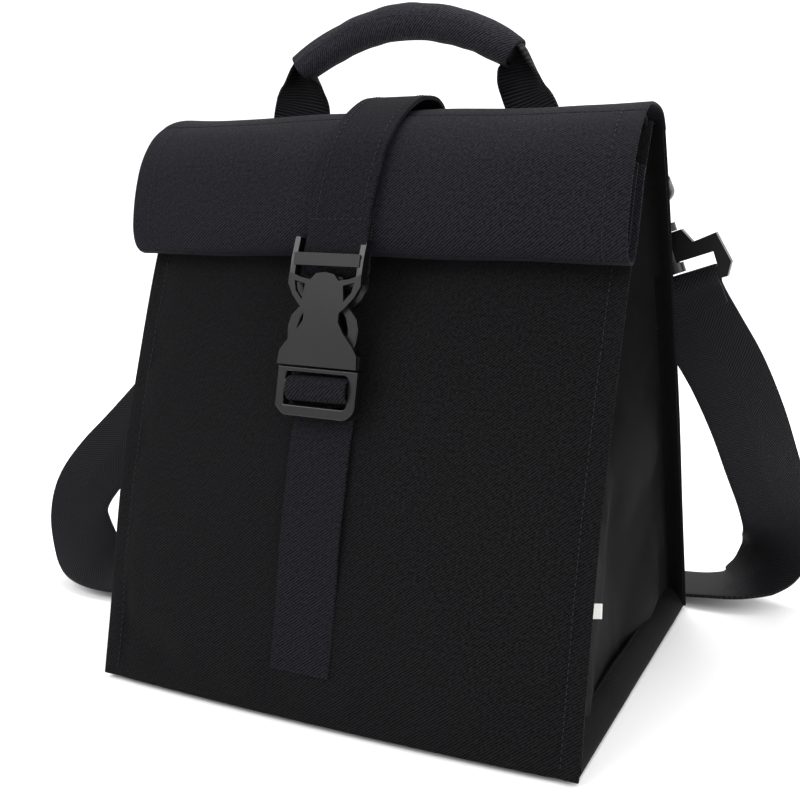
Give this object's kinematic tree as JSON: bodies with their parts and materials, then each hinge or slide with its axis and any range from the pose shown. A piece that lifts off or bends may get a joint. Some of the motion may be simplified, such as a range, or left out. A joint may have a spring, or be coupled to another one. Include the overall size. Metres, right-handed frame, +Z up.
{
  "type": "insulated cooler bag",
  "caption": "Tent-shaped insulated bag with a roll-down top, side-release buckle, padded carry handle and clip-on shoulder strap.",
  "frame": {"origin": "middle of the base, on the floor", "axes": "+Z up, -Y towards the buckled front, +X the wearer's right as seen from the front"},
  "size_m": [0.4339, 0.2487, 0.3175],
  "materials": {
    "outer_fabric": "fine twill",
    "base_fabric": "coated twill",
    "gusset_fabric": "coated twill with a faint sheen",
    "webbing": "herringbone webbing",
    "buckle_plastic": "fine moulded texture",
    "hook_plastic": "satin",
    "hook_metal": "satin black coating",
    "foam": "closed-cell foam",
    "core_foam": "soft foam rod",
    "liner": "welded foil-coated film",
    "board": "plain sheet",
    "tape": "hook-and-loop tape",
    "label": "plain woven ribbon"
  },
  "bodies": {
    "bag": {"front_panel": "outer_fabric", "back_panel": "outer_fabric", "bottom_panel": "base_fabric", "gusset_left": "gusset_fabric", "gusset_right": "gusset_fabric", "foam_front": "foam", "foam_back": "foam", "foam_bottom": "foam", "foam_left": "foam", "foam_right": "foam", "base_board": "board", "liner": "liner", "strap_anchor": "outer_fabric", "lower_strap": "outer_fabric", "handle_anchor_left": "webbing", "handle_anchor_right": "webbing", "ring_tab_left": "webbing", "ring_tab_right": "webbing", "eye_left": "hook_plastic", "eye_right": "hook_plastic", "shoulder_strap": "webbing", "care_label": "label"},
    "roll": {"collar_back": "outer_fabric", "roll_face": "outer_fabric", "closure_strap": "outer_fabric", "buckle_female": "buckle_plastic"},
    "lip": {"lip_back": "outer_fabric", "hook_tape": "tape"},
    "mouth_front": {"collar_front": "outer_fabric", "front_face": "outer_fabric"},
    "front_lip": {"lip_front": "outer_fabric", "loop_tape": "tape"},
    "handle": {"handle_webbing": "webbing", "handle_grip": "outer_fabric", "handle_core": "core_foam"},
    "male_buckle": {"buckle_male": "buckle_plastic"},
    "arm_left": {"buckle_arm_left": "buckle_plastic"},
    "arm_right": {"buckle_arm_right": "buckle_plastic"},
    "ring_left": {"ring_left": "hook_metal"},
    "ring_right": {"ring_right": "hook_metal"},
    "hook_left": {"hook_left": "hook_metal"},
    "hook_right": {"hook_right": "hook_metal"},
    "gate_left": {"gate_left": "hook_metal"},
    "gate_right": {"gate_right": "hook_metal"},
    "slider": {"strap_slider": "hook_plastic"}
  },
  "joints": [
    {"name": "roll_open", "type": "hinge", "parent": "bag", "child": "roll", "pos_m": [0, -0.014, 0.266], "axis": [-1, 0, 0], "range_deg": [0, 140], "deforming": ["collar_back", "closure_strap", "strap_anchor"]},
    {"name": "lip_unroll", "type": "hinge", "parent": "roll", "child": "lip", "pos_m": [0, -0.05, 0.208], "axis": [-1, 0, 0], "range_deg": [0, 180], "deforming": ["lip_back", "hook_tape"]},
    {"name": "mouth_open", "type": "hinge", "parent": "bag", "child": "mouth_front", "pos_m": [0, -0.018, 0.262], "axis": [-1, 0, 0], "range_deg": [0, 110], "deforming": ["collar_front", "front_face"]},
    {"name": "lip_front_unroll", "type": "hinge", "parent": "mouth_front", "child": "front_lip", "pos_m": [0, -0.049, 0.209], "axis": [-1, 0, 0], "range_deg": [0, 180], "deforming": ["lip_front", "loop_tape"]},
    {"name": "handle_swing", "type": "hinge", "parent": "bag", "child": "handle", "pos_m": [-0.0095, 0.0142, 0.249], "axis": [-1, 0, 0], "range_deg": [-6, 125]},
    {"name": "buckle_release", "type": "slide", "parent": "bag", "child": "male_buckle", "axis": [-0.0175, -0.2249, -0.9742], "range_m": [0, 0.036], "deforming": ["lower_strap"]},
    {"name": "arm_left_press", "type": "hinge", "parent": "male_buckle", "child": "arm_left", "pos_m": [-0.0208, -0.0738, 0.15589], "axis": [0, 0.9744, -0.225], "range_deg": [0, 7], "stiffness_Nm_per_rad": 0.05, "deforming": ["buckle_arm_left"]},
    {"name": "arm_right_press", "type": "hinge", "parent": "male_buckle", "child": "arm_right", "pos_m": [0.00319, -0.07389, 0.15548], "axis": [0, -0.9744, 0.225], "range_deg": [0, 7], "stiffness_Nm_per_rad": 0.05, "deforming": ["buckle_arm_right"]},
    {"name": "ring_left_swing", "type": "hinge", "parent": "bag", "child": "ring_left", "pos_m": [-0.1036, 0.024, 0.2334], "axis": [1, 0, 0], "range_deg": [-3, 3]},
    {"name": "hook_left_swivel", "type": "hinge", "parent": "bag", "child": "hook_left", "pos_m": [-0.1167, 0.0445, 0.1974], "axis": [0.3206, 0, 0.9472], "range_deg": [-8, 8]},
    {"name": "gate_left_open", "type": "hinge", "parent": "hook_left", "child": "gate_left", "pos_m": [-0.10955, 0.0521, 0.21852], "axis": [0.9472, 0, -0.3206], "range_deg": [0, 9], "stiffness_Nm_per_rad": 0.02},
    {"name": "ring_right_swing", "type": "hinge", "parent": "bag", "child": "ring_right", "pos_m": [0.1036, 0.024, 0.2334], "axis": [1, 0, 0], "range_deg": [-3, 3]},
    {"name": "hook_right_swivel", "type": "hinge", "parent": "bag", "child": "hook_right", "pos_m": [0.1167, 0.0445, 0.1974], "axis": [-0.3206, 0, 0.9472], "range_deg": [-8, 8]},
    {"name": "gate_right_open", "type": "hinge", "parent": "hook_right", "child": "gate_right", "pos_m": [0.10955, 0.0521, 0.21852], "axis": [0.9472, 0, 0.3206], "range_deg": [0, 9], "stiffness_Nm_per_rad": 0.02},
    {"name": "slider_adjust", "type": "slide", "parent": "bag", "child": "slider", "axis": [1, 0, 0], "range_m": [-0.03, 0.03]}
  ],
  "couplings": [
    {"joint": "lip_unroll", "follows": "roll_open", "ratio": 1.25},
    {"joint": "mouth_open", "follows": "roll_open", "ratio": 0.75},
    {"joint": "lip_front_unroll", "follows": "roll_open", "ratio": 1.25}
  ]
}
